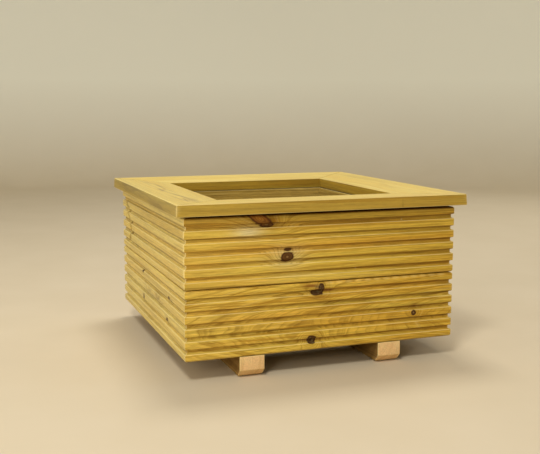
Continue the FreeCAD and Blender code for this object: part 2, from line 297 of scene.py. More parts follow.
# Knots, marks, damage and some painted light and shade, where the photograph shows them on the front, the
# left side and the rim.
# The front is paler at its left end and deeper at its right: partly the boards' tone, partly a painted
# fall-off of light from the left.
FRONT_TONES_AND_PAINTED_FALLOFF = (
    Patch(-0.27, 0.16, 0.18, 0.4, 0.25, PALE_GOLD),
    Patch(0.27, 0.16, 0.26, 0.4, 0.45, DEEP_GOLD))
FRONT_UPPER_KNOTS = (
    Knot(-0.1230, 0.2740, 0.0165, 0.0140, redness=1.0, lean=-1.0),
    Knot(-0.1090, 0.2622, 0.0125, 0.0040, redness=-0.6),
    Knot(-0.0724, 0.2058, 0.0116, 0.0092, redness=0.15, lean=0.25),
    Knot(-0.0700, 0.2180, 0.0066, 0.0026, heart=0.0))
FRONT_UPPER_PATCHES = FRONT_TONES_AND_PAINTED_FALLOFF + (
    # Painted shadow of the rim on the upper board's top ridge.
    Patch(0.06, 0.2785, 0.40, 0.010, 0.6, SHADED_GOLD),
    Patch(-0.100, 0.268, 0.014, 0.010, 1.1, ORANGE_BROWN),
    Patch(-0.142, 0.252, 0.026, 0.009, 0.8, CREAM),
    Patch(-0.0724, 0.206, 0.030, 0.018, 0.4, CREAM),
    Patch(0.1473, 0.2605, 0.0012, 0.001, 1.2, CREAM),
    Patch(0.058, 0.1783, 0.0015, 0.0012, 1.2, CREAM))
FRONT_LOWER_KNOTS = (
    Knot(-0.0084, 0.1462, 0.0056, 0.0105, decay=0.35, heart=0.0),
    Knot(-0.0170, 0.1402, 0.0115, 0.0052, decay=0.2, heart=0.0),
    Knot(-0.0266, 0.057, 0.0085, 0.008, decay=0.6, heart=0.0),
    Knot(0.1742, 0.0888, 0.005, 0.005, heart=0.3))
FRONT_LOWER_PATCHES = FRONT_TONES_AND_PAINTED_FALLOFF + (
    Patch(-0.028, 0.1525, 0.013, 0.0024, 1.8, RED_BROWN),
    Patch(0.003, 0.1425, 0.012, 0.0022, 1.8, RED_BROWN),
    Patch(-0.0165, 0.1495, 0.005, 0.0045, 1.2, GREY_BROWN),
    Patch(-0.0124, 0.131, 0.016, 0.004, 0.4, RED_BROWN),
    Patch(0.177, 0.101, 0.006, 0.004, 0.8, RED_BROWN),
    Patch(-0.0266, 0.057, 0.024, 0.004, 0.5, RED_BROWN))
LEFT_LOWER_KNOTS = (
    Knot(-0.0632, 0.1355, 0.0055, 0.0028),
    Knot(-0.0582, 0.086, 0.0042, 0.0060),
    Knot(0.149, 0.1243, 0.0055, 0.0050),
    Knot(0.132, 0.0824, 0.0055, 0.0050))
LEFT_LOWER_SWIRLS = (
    Swirl(-0.008, 0.102, 0.045, 0.012, 0.012),
    Swirl(0.064, 0.104, 0.030, 0.012, 0.010))
LEFT_RIM_PATCHES = (
    Patch(-0.086, 0.213, 0.045, 0.0022, 1.0, GREY_BROWN, 0.037),
    Patch(0.000, 0.229, 0.028, 0.0030, 1.2, GREY_BROWN),
    Patch(0.010, 0.216, 0.011, 0.006, 0.3, GREY_BROWN),
    Patch(-0.021, 0.219, 0.010, 0.0025, 0.9, RED_BROWN),
    Patch(0.107, 0.2225, 0.068, 0.0026, 1.1, GREY_BROWN, -0.1),
    Patch(0.155, 0.237, 0.050, 0.0020, 0.9, GREY_BROWN, -0.057),
    Patch(0.180, 0.220, 0.036, 0.011, 0.55, GREY_BROWN),
    Patch(0.180, 0.230, 0.025, 0.0018, 1.0, GREY_BROWN, 0.11),
    Patch(-0.165, 0.222, 0.030, 0.0022, 0.9, GREY_BROWN, -0.2))
FRONT_RIM_CHECK = (Patch(0.1387, 0.2715, 0.0007, 0.002, 0.9, DARK_BROWN),)

# A torn strip, as (along, up, lean) down its path, dug in and darkened with painted shade.
TEAR_PATH = ((-0.212, 0.252, -1.0), (-0.205, 0.240, 1.2), (-0.195, 0.228, -1.2),
             (-0.182, 0.212, -1.0), (-0.181, 0.198, 0.8), (-0.187, 0.185, 0.6))
TEAR_HALF_LENGTH = 0.0085
TEAR_HALF_HEIGHT = 0.0085
TEAR_DEPTH = 0.0038
TEAR_PAINTED_SHADE = 0.85
LEFT_TEAR = tuple(Chip(along, up, TEAR_HALF_LENGTH, TEAR_HALF_HEIGHT, TEAR_DEPTH, TEAR_PAINTED_SHADE, lean=lean)
                  for along, up, lean in TEAR_PATH)

# A row of planer marks, each with a painted highlight on its scallop.
CHATTER_COUNT = 13
CHATTER_START = 0.007
CHATTER_STEP = 0.0186
CHATTER_MARK = Chip(CHATTER_START, 0.1556, 0.0086, 0.0017, depth=0.0012, wear=0.25)
CHATTER = tuple(CHATTER_MARK._replace(along=CHATTER_START + index * CHATTER_STEP)
                for index in range(CHATTER_COUNT))

# The boards, with wear for their left and right ends. A pith is (across, up) from the timber's middle.
LIGHT_ENDS = (LIGHT_WEAR, LIGHT_WEAR)
FRONT_ENDS = (NO_WEAR, LIGHT_WEAR)
Board = namedtuple("Board", "side course look seed pith tilt shade end_wear knots patches swirls chips",
                   defaults=(DEEP_SHADE, LIGHT_ENDS, (), (), (), ()))
RimBoard = namedtuple("RimBoard", "side look seed pith tilt end_wear patches", defaults=(LIGHT_ENDS, ()))
WALL_BOARDS = (
    Board("front", 1, FLAMED_DECKING, 1.3, (0.06, -0.02), -0.13, FRONT_LOWER_SHADE, FRONT_ENDS,
          FRONT_LOWER_KNOTS, FRONT_LOWER_PATCHES, chips=CHATTER),
    Board("front", 2, DECKING, 2.7, (0.04, -0.10), 0.01, FRONT_UPPER_SHADE, FRONT_ENDS,
          FRONT_UPPER_KNOTS, FRONT_UPPER_PATCHES),
    Board("left", 1, PALE_DECKING, 3.1, (0.03, -0.10), 0.03, FAINT_SHADE, (LIGHT_WEAR, CORNER_WEAR),
          LEFT_LOWER_KNOTS, swirls=LEFT_LOWER_SWIRLS),
    Board("left", 2, PALE_DECKING, 4.9, (0.03, 0.12), -0.03, FAINT_SHADE, (LIGHT_WEAR, CHEWED_WEAR),
          chips=LEFT_TEAR),
    Board("right", 1, DECKING, 5.3, (0.06, -0.01), 0.05),
    Board("right", 2, DECKING, 6.1, (0.08, 0.02), -0.04),
    Board("back", 1, DECKING, 7.7, (0.07, 0.02), 0.04),
    Board("back", 2, DECKING, 8.3, (0.06, -0.01), -0.05))
RIM_BOARDS = (
    RimBoard("front", RIM, 11.0, (0.01, -0.06), 0.02, (CORNER_WEAR, LIGHT_WEAR), FRONT_RIM_CHECK),
    RimBoard("right", RIM, 12.0, (0.01, -0.06), 0.02),
    RimBoard("back", BACK_RIM_WITH_PAINTED_SHEEN, 13.0, (0.01, -0.06), 0.02),
    RimBoard("left", LEFT_RIM, 14.0, (0.05, -0.03), 0.02, (LIGHT_WEAR, CORNER_WEAR), LEFT_RIM_PATCHES))

# The timber inside and below. A bearer is (node, seed, pith).
TOP_BATTEN_SEED = 21.0
BASE_BATTEN_SEED = 31.0
POST_SEED = 51.0
SLAT_SEED = 60.0
BATTEN_PITH = (0.03, -0.05)
SLAT_PITH = (0.02, -0.06)
BEARERS = (("left_bearer", 41.0, (0.05, 0.01)), ("right_bearer", 43.0, (0.05, 0.03)))

TURNS = {"front": 0, "right": 90, "back": 180, "left": 270}
CORNER_NAMES = ("front_left", "front_right", "back_right", "back_left")
UPRIGHT = Matrix.Rotation(-math.pi / 2, 4, "Y")


def turn_of(side):
    return Matrix.Rotation(math.radians(TURNS[side]), 4, "Z")


def local_box(node, turn):
    """A node's low and high corners in the frame that the turn gives."""
    corners = [turn.inverted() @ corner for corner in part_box(node)]
    return Vector(map(min, *corners)), Vector(map(max, *corners))


def pith_place(low, high, pith):
    """Where a timber's pith lies, across and up, from its box and the pith's offset."""
    middle = (low + high) / 2
    return middle.y + pith[0], middle.z + pith[1]


def mix(first, second, share):
    return first + (second - first) * share


def rounded(corners):
    """A closed outline with an arc at each corner that has a radius. A corner sets the painted shade of the
    run after it.
    """
    points = []
    for index, corner in enumerate(corners):
        if corner.radius == 0.0:
            points.append(Point(corner.across, corner.up, corner.wear, corner.stain))
            continue
        middle = Vector((corner.across, corner.up))
        last, following = corners[index - 1], corners[(index + 1) % len(corners)]
        before = (Vector((last.across, last.up)) - middle).normalized()
        after = (Vector((following.across, following.up)) - middle).normalized()
        half_angle = before.angle(after) / 2
        reach = corner.radius / math.tan(half_angle)
        centre = middle + (before + after).normalized() * (corner.radius / math.sin(half_angle))
        start = (middle + before * reach - centre).normalized()
        end = (middle + after * reach - centre).normalized()
        for step in range(ARC_STEPS + 1):
            share = step / ARC_STEPS
            place = centre + start.slerp(end, share) * corner.radius
            wear = corner.wear * math.sin(math.pi * share)
            points.append(Point(place.x, place.y, wear, mix(last.stain, corner.stain, share)))
    return points


def refined(outline, step):
    """The outline with points added along its long straight runs."""
    points = []
    for index, point in enumerate(outline):
        after = outline[(index + 1) % len(outline)]
        pieces = max(1, round(math.hypot(after.across - point.across, after.up - point.up) / step))
        points.append(point)
        for piece in range(1, pieces):
            points.append(Point(*(mix(near, far, piece / pieces) for near, far in zip(point, after))))
    return points


def stations(half_length, ease, step=STATION_STEP):
    """Shares of the half length from end to end, closer together in the eased ends."""
    ends = [1 - share * ease / half_length for share in END_EASE_SHARES + NEAR_END_SHARES]
    count = math.ceil(half_length * 2 / step)
    middle = [ends[-1] * (2 * index / count - 1) for index in range(1, count)]
    return [-share for share in ends] + middle + ends[::-1]


def end_inset(distance, ease):
    """How far a rounded end has drawn in at a distance from it."""
    if distance >= ease:
        return 0.0
    return ease - math.sqrt(ease ** 2 - (ease - distance) ** 2)


def stray(along, across, up, seed, grain, amount):
    """A smooth random offset, the same on each run."""
    place = Vector((along * grain.along, across * grain.across, up * grain.across))
    offset = Vector([seed * step for step in RIPPLE_SEED_STEPS])
    return noise.noise(place + offset) * amount


def finished(mesh):
    """The mesh with its normals outwards and its edges sharp where they turn."""
    shell = bmesh.new()
    shell.from_mesh(mesh)
    bmesh.ops.recalc_face_normals(shell, faces=shell.faces)
    shell.to_mesh(mesh)
    shell.free()
    mesh.shade_smooth()
    mesh.set_sharp_from_angle(angle=SHARP_ANGLE)
    return mesh


def lofted(name, rings, wear, stain):
    """A closed mesh over rings of points, with numbers at each point for pale wear with painted highlights,
    and for painted shade.
    """
    count = len(rings[0])
    faces = []
    for row in range(len(rings) - 1):
        for column in range(count):
            beside = (column + 1) % count
            near = row * count
            far = near + count
            faces.append((near + column, near + beside, far + beside, far + column))
    faces.append(tuple(range(count)))
    faces.append(tuple(range((len(rings) - 1) * count, len(rings) * count)))
    mesh = bpy.data.meshes.new(name)
    mesh.from_pydata([point for ring in rings for point in ring], [], faces)
    mesh.attributes.new("wear", "FLOAT", "POINT").data.foreach_set("value", wear)
    mesh.attributes.new("stain", "FLOAT", "POINT").data.foreach_set("value", stain)
    return finished(mesh)


def scene_object(name, data):
    made = bpy.data.objects.new(name, data)
    bpy.context.scene.collection.objects.link(made)
    return made


def place_piece(name, mesh, turn, material, node):
    piece = scene_object(name, mesh)
    piece.matrix_world = turn
    mesh.materials.append(material)
    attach(piece, "root")
    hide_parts(node)


class Graph:
    """Adds nodes to one material and wires them."""

    def __init__(self, name):
        self.material = bpy.data.materials.new(name)
        self.material.use_nodes = True
        self.nodes = self.material.node_tree.nodes
        self.links = self.material.node_tree.links
        self.shader = self.nodes["Principled BSDF"]

    def feed(self, socket, value):
        if isinstance(value, bpy.types.NodeSocket):
            self.links.new(value, socket)
        else:
            socket.default_value = value

    def node(self, kind, *values, **settings):
        made = self.nodes.new(kind)
        for name, value in settings.items():
            setattr(made, name, value)
        for socket, value in zip(made.inputs, values):
            self.feed(socket, value)
        return made

    def math(self, operation, *values):
        return self.node("ShaderNodeMath", *values, operation=operation).outputs[0]

    def times(self, value, amount):
        return self.math("MULTIPLY", value, amount)

    def scaled(self, value, amount, base=0.0):
        return self.math("MULTIPLY_ADD", value, amount, base)

    def vector(self, operation, *values):
        return self.node("ShaderNodeVectorMath", *values, operation=operation).outputs[0]

    def split(self, value):
        return self.node("ShaderNodeSeparateXYZ", value).outputs

    def place(self):
        return self.node("ShaderNodeTexCoord").outputs["Object"]

    def attribute(self, name):
        return self.node("ShaderNodeAttribute", attribute_name=name).outputs["Fac"]

    def noise(self, place, grain, seed=0.0, output="Fac"):
        stretch = (grain.along, grain.across, grain.across)
        offset = tuple((seed + grain.seed) * step for step in TEXTURE_SEED_STEPS)
        made = self.node("ShaderNodeTexNoise")
        self.feed(made.inputs["Vector"], self.vector("MULTIPLY_ADD", place, stretch, offset))
        made.inputs["Scale"].default_value = 1.0
        made.inputs["Detail"].default_value = grain.detail
        made.inputs["Roughness"].default_value = grain.roughness
        return made.outputs[output]

    def ramp(self, share, stops):
        made = self.node("ShaderNodeValToRGB", share)
        elements = made.color_ramp.elements
        while len(elements) < len(stops):
            elements.new(1.0)
        for element, (place, colour) in zip(elements, stops):
            element.position = place
            element.color = (*colour, 1.0) if isinstance(colour, tuple) else (colour, colour, colour, 1.0)
        return made.outputs[0]

    def blend(self, share, first, second, mode="MIX"):
        made = self.node("ShaderNodeMix", data_type="RGBA", blend_type=mode)
        self.feed(made.inputs["Factor"], share)
        colours = [socket for socket in made.inputs if socket.type == "RGBA"]
        for socket, value in zip(colours, (first, second)):
            self.feed(socket, (*value, 1.0) if isinstance(value, tuple) else value)
        return [socket for socket in made.outputs if socket.type == "RGBA"][0]

    def finish(self, colour, roughness, relief, bump_strength):
        bump = self.node("ShaderNodeBump")
        bump.inputs["Strength"].default_value = bump_strength
        bump.inputs["Distance"].default_value = BUMP_DISTANCE
        self.links.new(relief, bump.inputs["Height"])
        self.links.new(colour, self.shader.inputs["Base Color"])
        self.links.new(roughness, self.shader.inputs["Roughness"])
        self.links.new(bump.outputs["Normal"], self.shader.inputs["Normal"])
        return self.material


def ring_radius(graph, place, seed, pith, tilt):
    """Distance from the pith line, along which the grain wanders."""
    bent = place
    for grain, reach in GRAIN_BENDS:
        offset = graph.vector("SUBTRACT", graph.noise(place, grain, seed, "Color"), NOISE_MIDDLE)
        bent = graph.vector("MULTIPLY_ADD", offset, (0.0, reach, reach), bent)
    along, across, up = graph.split(bent)
    depth = graph.scaled(along, -tilt, graph.math("SUBTRACT", across, pith[0]))
    height = graph.math("SUBTRACT", up, pith[1])
    return graph.math("SQRT", graph.scaled(depth, depth, graph.times(height, height)))


def squares(graph, along, up, spot, lean=0.0, slope=0.0):
    """The squared offsets from a spot that leans or slopes, in its own half sizes."""
    rise = graph.math("SUBTRACT", up, spot.up)
    side = graph.math("SUBTRACT", along, spot.along)
    if lean:
        side = graph.scaled(rise, -lean, side)
    if slope:
        rise = graph.scaled(side, -slope, rise)
    side = graph.math("DIVIDE", side, spot.half_length)
    rise = graph.math("DIVIDE", rise, spot.half_height)
    return graph.times(side, side), graph.times(rise, rise)


def falling(graph, value):
    return graph.math("EXPONENT", graph.times(value, -1.0))


def swirled(graph, radius, along, up, swirls):
    """The ring radius pushed out where the grain swirls, and a halo there."""
    halo = 0.0
    for swirl in swirls:
        side, rise = squares(graph, along, up, swirl)
        swell = falling(graph, graph.math("ADD", side, rise))
        radius = graph.scaled(swell, swirl.push, radius)
        halo = graph.math("MAXIMUM", swell, halo)
    return radius, halo


def knotted(graph, radius, halo, along, up, knots):
    """The ring radius pushed out round knots, the halo, and the nearest knot's distance and looks."""
    nearest, redness, decay, heart = KNOT_FAR, 0.0, 0.0, 0.0
    swell_along, swell_up = KNOT_SWELL_SHARES
    for knot in knots:
        side, rise = squares(graph, along, up, knot, lean=knot.lean)
        apart = graph.math("ADD", side, rise)
        swell = falling(graph, graph.scaled(side, swell_along, graph.times(rise, swell_up)))
        radius = graph.scaled(swell, knot.half_height * KNOT_PUSH_SHARE, radius)
        nearest = graph.math("MINIMUM", graph.math("SQRT", apart), nearest)
        halo = graph.math("MAXIMUM", swell, halo)
        close = falling(graph, graph.times(apart, KNOT_CLOSE_SHARE))
        redness = graph.scaled(close, knot.redness, redness)
        decay = graph.scaled(close, knot.decay, decay)
        heart = graph.scaled(close, knot.heart, heart)
    return radius, halo, nearest, (redness, decay, heart)


def knot_colours(graph, place, seed, edge, redness, decay, heart):
    """A dark knot with a pale heart and grey decay, or a reddish one."""
    dark = graph.ramp(edge, DARK_KNOT_STOPS)
    red = graph.ramp(edge, RED_KNOT_STOPS)
    dark = graph.blend(graph.math("LESS_THAN", edge, heart), dark, KNOT_HEART)
    rotten = graph.ramp(graph.noise(place, DECAY_GRAIN, seed), DECAY_STOPS)
    dark = graph.blend(graph.times(rotten, decay), dark, BARK_GREY)
    return graph.blend(graph.math("MINIMUM", redness, 1.0), dark, red)


def latewood(graph, radius, halo, look):
    """How much latewood there is at a place. Each ring has its own tone."""
    phase = graph.math("DIVIDE", radius, look.ring_width)
    ring_tone = graph.node("ShaderNodeTexWhiteNoise", noise_dimensions="1D")
    graph.feed(ring_tone.inputs["W"], graph.math("FLOOR", phase))
    tone = graph.scaled(ring_tone.outputs["Value"], RING_TONE_SHARE, 1.0 - RING_TONE_SHARE)
    late = graph.times(graph.ramp(graph.math("FRACT", phase), LATE_STOPS), tone)
    return graph.times(late, graph.scaled(halo, HALO_CONTRAST_SHARE, look.contrast))


def patched(graph, colour, along, up, streak, patches):
    """The colour with patches, which break up into streaks."""
    for patch in patches:
        side, rise = squares(graph, along, up, patch, slope=patch.slope)
        streaked = graph.scaled(streak, patch.share * PATCH_STREAK_SHARE, patch.share * PATCH_PLAIN_SHARE)
        share = graph.times(falling(graph, graph.math("ADD", side, rise)), streaked)
        colour = graph.blend(share, colour, patch.colour)
    return colour


def lined(graph, colour, lines, streak, stain, look):
    """The colour with dark, thin and pale lines along the grain, the dark lines stronger under painted
    shade.
    """
    shade_contrast = graph.scaled(stain, PAINTED_SHADE_LINE_SHARE, look.contrast)
    dark_lines = graph.times(graph.ramp(lines, DARK_LINE_STOPS), shade_contrast)
    colour = graph.blend(dark_lines, colour, look.late)
    thin_lines = graph.times(graph.ramp(streak, THIN_LINE_STOPS), look.streak)
    colour = graph.blend(thin_lines, colour, look.late)
    pale_lines = graph.times(graph.ramp(lines, PALE_LINE_STOPS), look.contrast)
    return graph.blend(pale_lines, colour, PALE_WOOD)


def shaded(graph, colour, fibre, streak, fleck, stain, look):
    """The colour made lighter and darker by fibres, streaks and flecks, then darkened by painted shade in
    the look's tint.
    """
    light = graph.scaled(fibre, look.fibre, 1.0 - look.fibre / 2)
    shade_contrast = graph.scaled(stain, PAINTED_SHADE_STREAK_SHARE, look.streak)
    streaked = graph.times(graph.math("SUBTRACT", streak, NOISE_MEAN), shade_contrast)
    light = graph.scaled(light, streaked, light)
    light = graph.times(light, graph.scaled(fleck, -FLECK_SHARE, 1.0))
    grey = graph.node("ShaderNodeCombineColor", light, light, light).outputs[0]
    colour = graph.blend(1.0, colour, grey, "MULTIPLY")
    return graph.blend(stain, colour, look.tint, "MULTIPLY")


def wood(name, look, seed, pith, tilt=0.0, knots=(), patches=(), swirls=(), flat=False):
    """Softwood with rings round a pith line (across, up), which moves across by tilt as it runs along.

    Knots, patches and swirls lie on the upright face, or with flat on the top face, where up is outwards.
    """
    graph = Graph(name)
    place = graph.place()
    along, across, up = graph.split(place)
    face_up = graph.times(across, -1.0) if flat else up
    radius, halo = swirled(graph, ring_radius(graph, place, seed, pith, tilt), along, face_up, swirls)
    radius, halo, nearest, knot_looks = knotted(graph, radius, halo, along, face_up, knots)
    # Painted shade from the mesh, darkening gaps, undersides, grooves and edges where shade falls.
    stain = graph.math("MINIMUM", graph.attribute("stain"), 1.0)
    late = latewood(graph, radius, halo, look)
    follow = graph.node("ShaderNodeCombineXYZ", along, radius).outputs[0]
    lines = graph.noise(follow, LINE_GRAIN, seed)
    fibre = graph.noise(place, FIBRE_GRAIN, seed)
    streak = graph.noise(place, STREAK_GRAIN, seed)
    band = graph.ramp(graph.noise(place, BAND_GRAIN, seed), BAND_STOPS)
    fleck = graph.ramp(graph.noise(place, FLECK_GRAIN, seed), FLECK_STOPS)

    colour = graph.blend(band, look.early, look.warm)
    colour = patched(graph, colour, along, face_up, streak, patches)
    colour = graph.blend(late, colour, look.late)
    colour = lined(graph, colour, lines, streak, stain, look)
    colour = shaded(graph, colour, fibre, streak, fleck, stain, look)
    # Pale wear, with painted highlights on some arrises and chips.
    wear = graph.times(graph.attribute("wear"), graph.scaled(streak, WEAR_AND_HIGHLIGHT_STREAK_SHARE, WEAR_AND_HIGHLIGHT_PLAIN_SHARE))
    colour = graph.blend(wear, colour, PALE_WOOD)
    rough = graph.scaled(fibre, FIBRE_ROUGHNESS_RISE, look.roughness + FIBRE_ROUGHNESS_START)
    rough = graph.scaled(stain, PAINTED_SHADE_ROUGHNESS_RISE, rough)
    if knots:
        colour = graph.blend(graph.times(halo, HALO_TINT_SHARE), colour, look.tint, "MULTIPLY")
        crumple = graph.scaled(graph.noise(place, CRUMPLE_GRAIN, seed), KNOT_CRUMPLE, -KNOT_CRUMPLE / 2)
        edge = graph.math("DIVIDE", graph.math("ADD", nearest, crumple), KNOT_REACH)
        share = graph.ramp(edge, KNOT_EDGE_STOPS)
        colour = graph.blend(share, colour, knot_colours(graph, place, seed, edge, *knot_looks))
        rough = graph.scaled(share, KNOT_ROUGHNESS_RISE, rough)
    graph.shader.inputs["Specular IOR Level"].default_value = look.specular
    return graph.finish(colour, rough, graph.scaled(late, LATE_RELIEF_SHARE, fibre), look.bump)


def zinc():
    """Zinc plating, mottled and dulled."""
    graph = Graph("zinc")
    place = graph.place()
    mottle = graph.noise(place, ZINC_MOTTLE_GRAIN)
    spots = graph.noise(place, ZINC_SPOT_GRAIN)
    colour = graph.blend(mottle, ZINC_DARK, ZINC_PALE)
    colour = graph.blend(graph.ramp(spots, ZINC_SPOT_STOPS), colour, ZINC_STAIN)
    rough = graph.scaled(mottle, ZINC_ROUGHNESS_RISE, ZINC_ROUGHNESS)
    graph.shader.inputs["Metallic"].default_value = 1.0
    return graph.finish(colour, rough, mottle, ZINC_BUMP)


def floor_paint():
    """A warm pale paint, paler on the wall."""
    graph = Graph("floor")
    place = graph.place()
    mottle = graph.noise(place, FLOOR_GRAIN)
    raised = graph.node("ShaderNodeMapRange", graph.split(place)[2], 0.0, FLOOR_CURVE).outputs[0]
    colour = graph.blend(raised, graph.blend(mottle, FLOOR_DARK, FLOOR_PALE), WALL_PALE)
    rough = graph.scaled(mottle, FLOOR_ROUGHNESS_RISE, FLOOR_ROUGHNESS)
    graph.shader.inputs["Specular IOR Level"].default_value = FLOOR_SPECULAR
    return graph.finish(colour, rough, mottle, FLOOR_BUMP)


def decking_section(inner, outer, bottom, top, shade):
    """The corners of a decking board's section, from its inner lower edge round its ridged face."""
    ridge = (top - bottom - (RIDGE_COUNT - 1) * GROOVE_WIDTH) / RIDGE_COUNT
    slope = (GROOVE_WIDTH - GROOVE_FLOOR_WIDTH) / 2
    floor = outer - GROOVE_DEPTH
    corners = [Corner(inner, bottom, BOARD_BACK_EASE, 0.0, shade.below),
               Corner(outer, bottom, BOARD_FACE_EASE, LOWER_EDGE_WEAR)]
    for groove in range(RIDGE_COUNT - 1):
        start = bottom + ridge + groove * (ridge + GROOVE_WIDTH)
        end = start + GROOVE_WIDTH
        line = start + slope + GROOVE_FLOOR_WIDTH * shade.line_share
        # Each ridge's upper arris gets a painted highlight; the lower part of each groove floor gets less
        # painted shade, its upper part and upper slope more, under the ridge above.
        corners += [Corner(outer, start, RIDGE_EASE, UPPER_RIDGE_HIGHLIGHT),
                    Corner(floor, start + slope, GROOVE_FLOOR_EASE, 0.0, shade.groove),
                    Corner(floor, line, 0.0, 0.0, shade.groove),
                    Corner(floor, line + GROOVE_SHADE_BLUR, 0.0, 0.0, shade.slope),
                    Corner(floor, end - slope, GROOVE_FLOOR_EASE, 0.0, shade.slope),
                    Corner(outer, end, RIDGE_EASE, 0.0)]
    return corners + [Corner(outer, top, BOARD_FACE_EASE, 0.0, shade.above),
                      Corner(inner, top, BOARD_BACK_EASE, 0.0)]


def chipped(along, up, chips):
    """How deep the chips are at a place on the face, with the painted shade in them and the painted
    highlight on them.
    """
    depth, stain, wear = 0.0, 0.0, 0.0
    for chip in chips:
        side = (along - chip.along - chip.lean * (up - chip.up)) / chip.half_length
        rise = (up - chip.up) / chip.half_height
        share = math.exp(-(side ** 2 + rise ** 2) ** 2)
        depth = max(depth, chip.depth * share)
        stain = max(stain, chip.stain * share)
        wear = max(wear, chip.wear * share)
    return depth, stain, wear


def mitred(name, outline, seed, front, end_wear, step=STATION_STEP, chips=(), mitre_painted_shade=0.0,
           painted_shade_end_shares=EVEN_SHARES):
    """A board with 45 degree ends swept along x, with wear, painted highlights, chips and ripple further out
    than front, and painted shade that the end shares scale and that darkens the mitres.
    """
    half = max(point.across for point in outline)
    rings, wear, stain = [], [], []
    for share in stations(half, END_EASE, step):
        distance = (1 - abs(share)) * half
        inset = end_inset(distance, END_EASE)
        end = end_wear[0] if share < 0 else end_wear[1]
        ring = []
        for point in outline:
            outward, worn_and_lit = point.across, point.wear
            dark = point.stain * mix(*painted_shade_end_shares, (share + 1) / 2)
            if outward > front:
                depth, chip_painted_shade, chip_wear_and_highlight = chipped(share * half, point.up, chips)
                ripple = abs(stray(share * half, outward, point.up, seed, BOARD_RIPPLE_GRAIN, BOARD_RIPPLE))
                ragged = CHEW_MEAN + stray(0.0, 0.0, point.up, seed, CHEW_GRAIN, 1.0)
                near_end = math.exp(-distance / (end.reach * max(CHEW_LEAST, CHEW_MEAN + ragged)))
                outward -= inset + ripple + depth + end.chew * near_end * max(0.0, ragged)
                worn_and_lit = max(worn_and_lit * (1 - chip_painted_shade), chip_wear_and_highlight, end.amount * near_end)
                dark = max(dark, chip_painted_shade)
            elif distance < END_EASE:
                # Painted shade on the faces by the mitre, in the joint.
                dark = max(dark, mitre_painted_shade)
            ring.append((share * (outward - MITRE_HALF_GAP), -outward, point.up))
            wear.append(worn_and_lit)
            stain.append(dark)
        rings.append(ring)
    return lofted(name, rings, wear, stain)


def wall_board(board):
    node = f"{board.side}_board_{board.course}"
    turn = turn_of(board.side)
    low, high = local_box(node, turn)
    outline = rounded(decking_section(-high.y, -low.y, low.z, high.z, board.shade))
    step = STATION_STEP
    if board.chips:
        step = FINE_STEP
        outline = refined(outline, FINE_STEP)
    name = node + "_wood"
    mesh = mitred(name, outline, board.seed, -high.y + GROOVE_DEPTH, board.end_wear, step, board.chips,
                  painted_shade_end_shares=board.shade.end_shares)
    pith = pith_place(low, high, board.pith)
    material = wood(name, board.look, board.seed, pith, board.tilt, board.knots, board.patches, board.swirls)
    place_piece(name, mesh, turn, material, node)


def rim_section(low):
    """The corners of a rim board's section, which falls inwards."""
    angle = math.asin(RIM_FALL / RIM_WIDTH)
    inward = Vector((-math.cos(angle), -math.sin(angle)))
    raised = Vector((-math.sin(angle), math.cos(angle)))
    eased_off = RIM_EASE * (math.sin(angle) + math.cos(angle) - 1)
    outer_low = Vector((-low.y + eased_off, low.z + RIM_FALL - eased_off))
    inner_low = outer_low + inward * RIM_WIDTH
    corners = [inner_low, outer_low, outer_low + raised * RIM_THICKNESS, inner_low + raised * RIM_THICKNESS]
    # Each corner carries its pale wear, with a painted highlight on the lower outer arris, and the painted
    # shade of the face after it.
    return [Corner(corner.x, corner.y, RIM_EASE, wear, stain)
            for corner, wear, stain in zip(corners, RIM_WEARS_AND_HIGHLIGHTS, RIM_PAINTED_SHADES)]


def rim_board(board):
    node = f"{board.side}_rim_board"
    turn = turn_of(board.side)
    low, high = local_box(node, turn)
    outline = refined(rounded(rim_section(low)), STATION_STEP)
    front = -low.y - RIM_EASE * 2
    name = node + "_wood"
    mesh = mitred(name, outline, board.seed, front, board.end_wear, mitre_painted_shade=MITRE_PAINTED_SHADE)
    pith = pith_place(low, high, board.pith)
    material = wood(name, board.look, board.seed, pith, board.tilt, patches=board.patches, flat=True)
    place_piece(name, mesh, turn, material, node)


def moved_in(point, middle, dip):
    """A point's place across and up, moved towards the middle by the dip."""
    to_middle = Vector((middle.y - point.across, middle.z - point.up)).normalized()
    return point.across + to_middle.x * dip, point.up + to_middle.y * dip


def batten(node, turn, inner_fall, seed):
    """A sawn timber with square ends swept along x, its faces uneven and its top falling by inner_fall."""
    low, high = local_box(node, turn)
    middle = (low + high) / 2
    half = (high.x - low.x) / 2
    # The top and the low side get painted shade, for the shade on faces hidden in the box.
    corners = [Corner(low.y, low.z, BATTEN_EASE), Corner(high.y, low.z, BATTEN_EASE),
               Corner(high.y, high.z - inner_fall, BATTEN_EASE, ARRIS_WEAR, HIDDEN_FACE_PAINTED_SHADE),
               Corner(low.y, high.z, BATTEN_EASE, ARRIS_WEAR, HIDDEN_FACE_PAINTED_SHADE)]
    outline = refined(rounded(corners), STATION_STEP)
    rings, wear, stain = [], [], []
    for share in stations(half, BATTEN_EASE):
        inset = end_inset((1 - abs(share)) * half, BATTEN_EASE)
        ring = []
        for point in outline:
            ripple = stray(share * half, point.across, point.up, seed, SAWN_RIPPLE_GRAIN, SAWN_RIPPLE)
            across, up = moved_in(point, middle, inset + abs(ripple))
            ring.append((middle.x + share * half, across, up))
            wear.append(point.wear)
            stain.append(point.stain)
        rings.append(ring)
    mesh = lofted(node + "_wood", rings, wear, stain)
    material = wood(node + "_wood", SAWN, seed, pith_place(low, high, BATTEN_PITH))
    place_piece(node + "_wood", mesh, turn, material, node)


